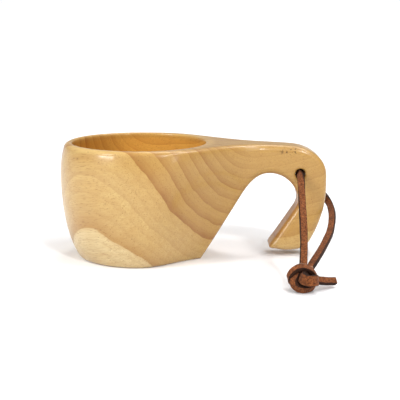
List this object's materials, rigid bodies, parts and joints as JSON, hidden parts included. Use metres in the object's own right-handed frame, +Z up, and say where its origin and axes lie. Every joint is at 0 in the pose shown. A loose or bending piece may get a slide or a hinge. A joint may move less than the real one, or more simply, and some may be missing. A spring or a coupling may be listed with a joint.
{
  "type": "wooden drinking cup",
  "caption": "Carved one-piece wooden cup with a round bowl, a hooked finger handle that is open below, and a knotted leather carrying thong through a hole in the handle.",
  "frame": {"origin": "centre of the bowl on its flat base, on the surface the cup stands on", "axes": "+Z up through the bowl's open mouth, +X along the handle, -Y towards the viewer"},
  "size_m": [0.1654, 0.1347, 0.0688],
  "materials": {
    "wood": "satin lacquer",
    "leather": "matt suede"
  },
  "bodies": {
    "cup": {"cup_body": "wood"},
    "thong": {"thong_loop": "leather", "thong_knot": "leather", "thong_tail_right": "leather", "thong_tail_front": "leather"}
  },
  "joints": [
    {"name": "thong_swing", "type": "hinge", "parent": "cup", "child": "thong", "pos_m": [0.0961, 0, 0.0511], "axis": [0, -1, 0], "range_deg": [0, 140]}
  ]
}
